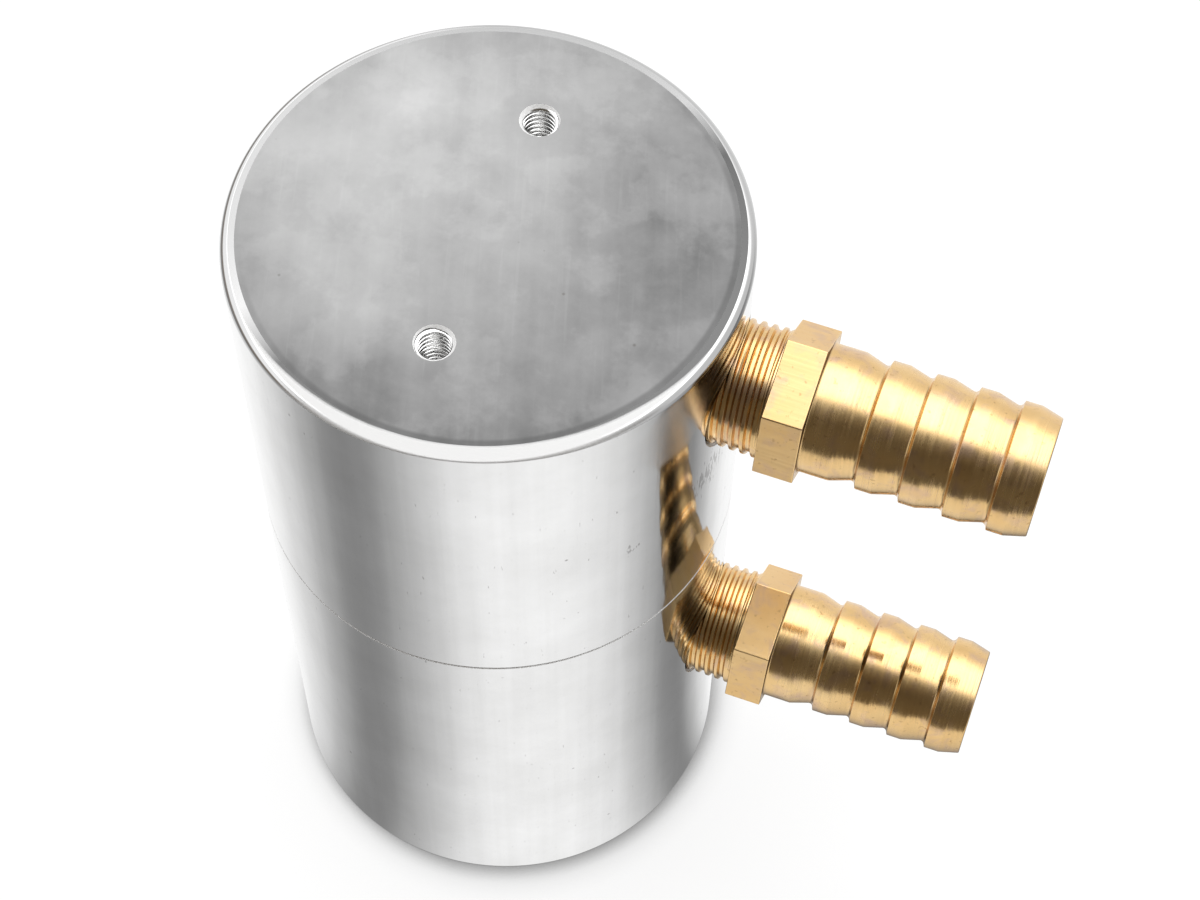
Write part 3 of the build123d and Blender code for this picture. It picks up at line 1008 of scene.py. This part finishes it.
# Painted contact shadow: the card's glow for the camera is drawn from how open it is round each point, and
# lightened to the left.
corner = make.add("ShaderNodeAmbientOcclusion", {"samples": 16}, Distance=0.008)["AO"]
shadow_lightened_left = make.maths("ADD", corner, make.span(axes["X"], -0.01, -0.042, 0.0, 0.1))
painted_contact_shadow = make.ramp(shadow_lightened_left, [
    (0.5, 0.22), (0.56, 0.34), (0.66, 0.54), (0.75, 0.71), (0.84, 0.77), (1.0, 0.83)
])
lift = make.add("ShaderNodeEmission", Color=painted_contact_shadow, Strength=1.0)[0]
white = make.add("ShaderNodeAddShader", i0=soft, i1=lift)[0]
card_axes = make.add("ShaderNodeSeparateXYZ", Vector=place)
second = make.span(path["Ray Depth"], 1.0, 2.0)
dimmed = make.maths("MULTIPLY", make.span(card_axes["X"], 0.03, 0.06), second)
dimmest = make.span(card_axes["Y"], -0.05, 0.1, 0.15, 0.35)
beneath = make.span(card_axes["X"], 0.1, 0.09)
long_way = make.span(path["Ray Length"], 0.115, 0.125)
lowest = make.between(make.maths("MULTIPLY", beneath, long_way), dimmest, 1.8)
far_left = make.span(card_axes["X"], -0.36, -0.46, 1.0, 0.36, "SMOOTHSTEP")
fading = make.maths("MULTIPLY", make.between(dimmed, 1.0, lowest), far_left)
shaded = make.add("ShaderNodeEmission", Color=shade, Strength=fading)[0]
by_metal = make.add("ShaderNodeMixShader", Fac=mirrored, i1=plain, i2=shaded)[0]
surface = make.add("ShaderNodeMixShader", Fac=path["Is Camera Ray"], i1=by_metal, i2=white)[0]
make.add("ShaderNodeOutputMaterial", Surface=surface)
card_mesh.materials.append(make.owner)

# Light: a studio with a large bright panel overhead and behind, pale walls to the sides and the back, and a
# dark front. It is weaker for light that has bounced twice, which keeps one piece's image in another deep.
# The camera sees white beyond the card.
studio = bpy.data.worlds.new("studio")
bpy.context.scene.world = studio
make = NodeBench(studio)
axes = make.add("ShaderNodeSeparateXYZ", Vector=make.add("ShaderNodeTexCoord")["Generated"])
arch = make.maths("ARCTAN2", axes["Z"], make.maths("MULTIPLY", axes["Y"], -1.0))
along = make.maths("MULTIPLY_ADD", arch, 0.5 / math.pi, 0.5)
panel = make.ramp(along, [
    (0.0, 0.37), (0.25, 0.37), (0.4, 0.04), (0.5, (0.055, 0.048, 0.038)), (0.61, (0.035, 0.03, 0.024)),
    (0.648, (0.06, 0.053, 0.045)), (0.68, 0.1), (0.694, 0.18), (0.706, 0.4), (0.72, 0.8), (0.74, 1.0),
    (0.86, 1.0), (0.89, 0.72), (0.922, 0.42), (0.96, 0.37), (1.0, 0.37),
])
above = make.span(axes["Z"], 0.05, 0.25, curve="SMOOTHSTEP")
left_wall = make.ramp(above, [(0.0, (0.085, 0.075, 0.065)), (1.0, 0.37)])
behind = make.span(axes["Y"], -0.45, -0.05, curve="SMOOTHSTEP")
right_wall = make.ramp(behind, [(0.0, (0.05, 0.045, 0.04)), (1.0, 0.34)])
left = make.span(axes["X"], -0.45, -0.75, curve="SMOOTHSTEP")
right = make.span(axes["X"], 0.46, 0.7, curve="SMOOTHSTEP")
walls = make.mix(right, make.mix(left, panel, left_wall), right_wall)
path = make.add("ShaderNodeLightPath")
second = make.span(path["Ray Depth"], 2.0, 3.0)
dimmed = make.maths("MULTIPLY", second, make.span(axes["X"], 0.0, 0.3))
dimmest = make.span(axes["Y"], -0.1, 0.45, 0.06, 0.4)
lit = make.add("ShaderNodeBackground", Color=walls, Strength=make.between(dimmed, 2.5, dimmest))[0]
blank = make.add("ShaderNodeBackground", Color=(1, 1, 1, 1), Strength=1.0)[0]
beyond = make.add("ShaderNodeMixShader", Fac=path["Is Camera Ray"], i1=lit, i2=blank)[0]
make.add("ShaderNodeOutputWorld", Surface=beyond)

# Camera: a long lens that looks down on the can at 59 degrees, from 19 degrees round towards the barbs. It is
# rolled by about one degree.
camera_place = np.array([92.165, -213.2, 480.909]) * millimetre
camera_down = 1.0338
camera_roll = 0.0196
camera_data = bpy.data.cameras.new("camera")
camera_data.sensor_width = 36.0
camera_data.lens = 77.748
camera_data.clip_start = 0.01
camera = bpy.data.objects.new("camera", camera_data)
bpy.context.scene.collection.objects.link(camera)
ahead = np.array([
    -math.sin(camera_round) * math.cos(camera_down),
    math.cos(camera_round) * math.cos(camera_down),
    -math.sin(camera_down),
])
level = np.array([math.cos(camera_round), math.sin(camera_round), 0.0])
upward = np.cross(level, ahead)
pose = np.eye(4)
pose[:3, 0] = math.cos(camera_roll) * level + math.sin(camera_roll) * upward
pose[:3, 1] = math.cos(camera_roll) * upward - math.sin(camera_roll) * level
pose[:3, 2] = -ahead
pose[:3, 3] = camera_place
camera.matrix_world = Matrix(pose.tolist())
bpy.context.scene.camera = camera
bpy.context.scene.view_settings.view_transform = "Standard"
